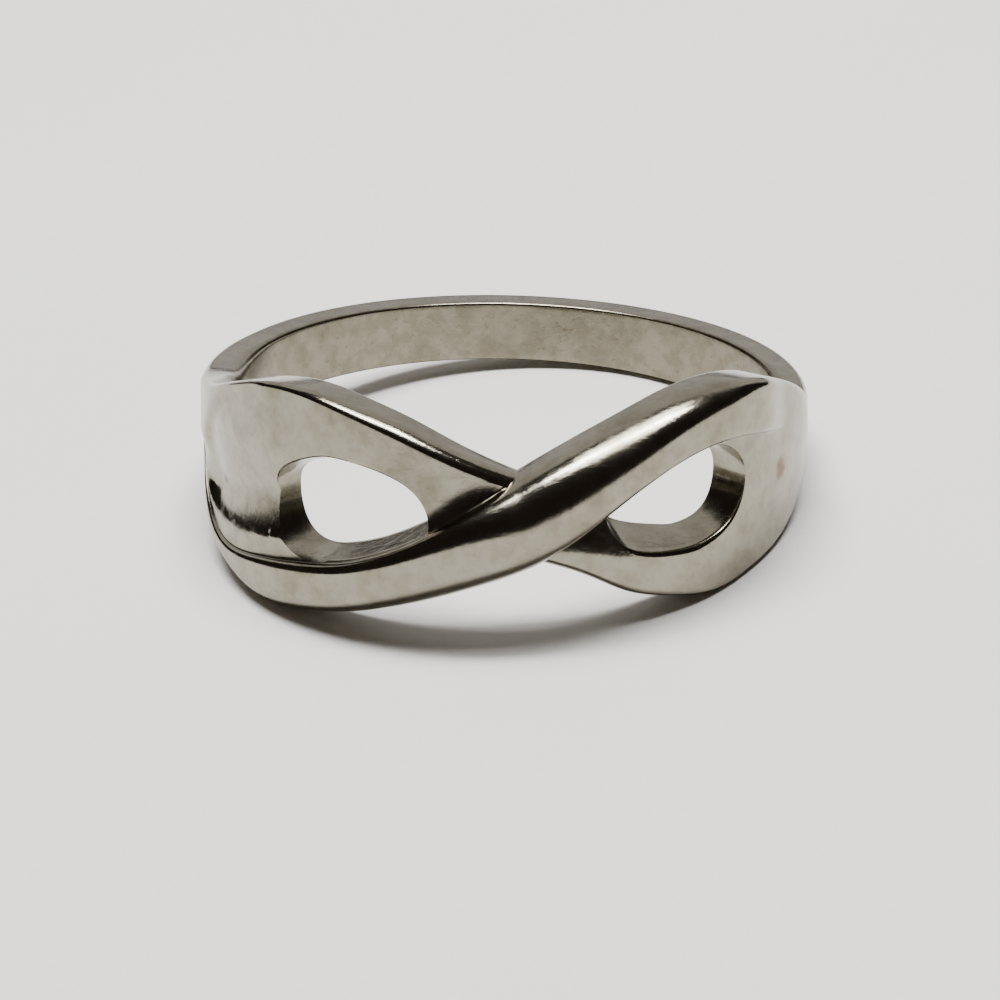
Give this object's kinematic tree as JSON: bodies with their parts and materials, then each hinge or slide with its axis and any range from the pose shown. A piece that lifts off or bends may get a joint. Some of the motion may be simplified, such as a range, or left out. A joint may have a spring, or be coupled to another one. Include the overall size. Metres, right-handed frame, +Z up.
{
  "type": "infinity ring",
  "caption": "Silver-coloured finger ring: a plain tapered band that runs into a figure-8 head, one strand passing over the other, with two teardrop holes.",
  "frame": {"origin": "on the surface it lies on, under the middle of the part's box", "axes": "+Z up from that surface, -Y towards the head, +X to the right as the head is faced"},
  "size_m": [0.0198, 0.0208, 0.0074],
  "materials": {
    "silver": "polished cast silver, softly worn, with a little tarnish"
  },
  "bodies": {
    "root": {"ring": "silver"}
  },
  "joints": []
}
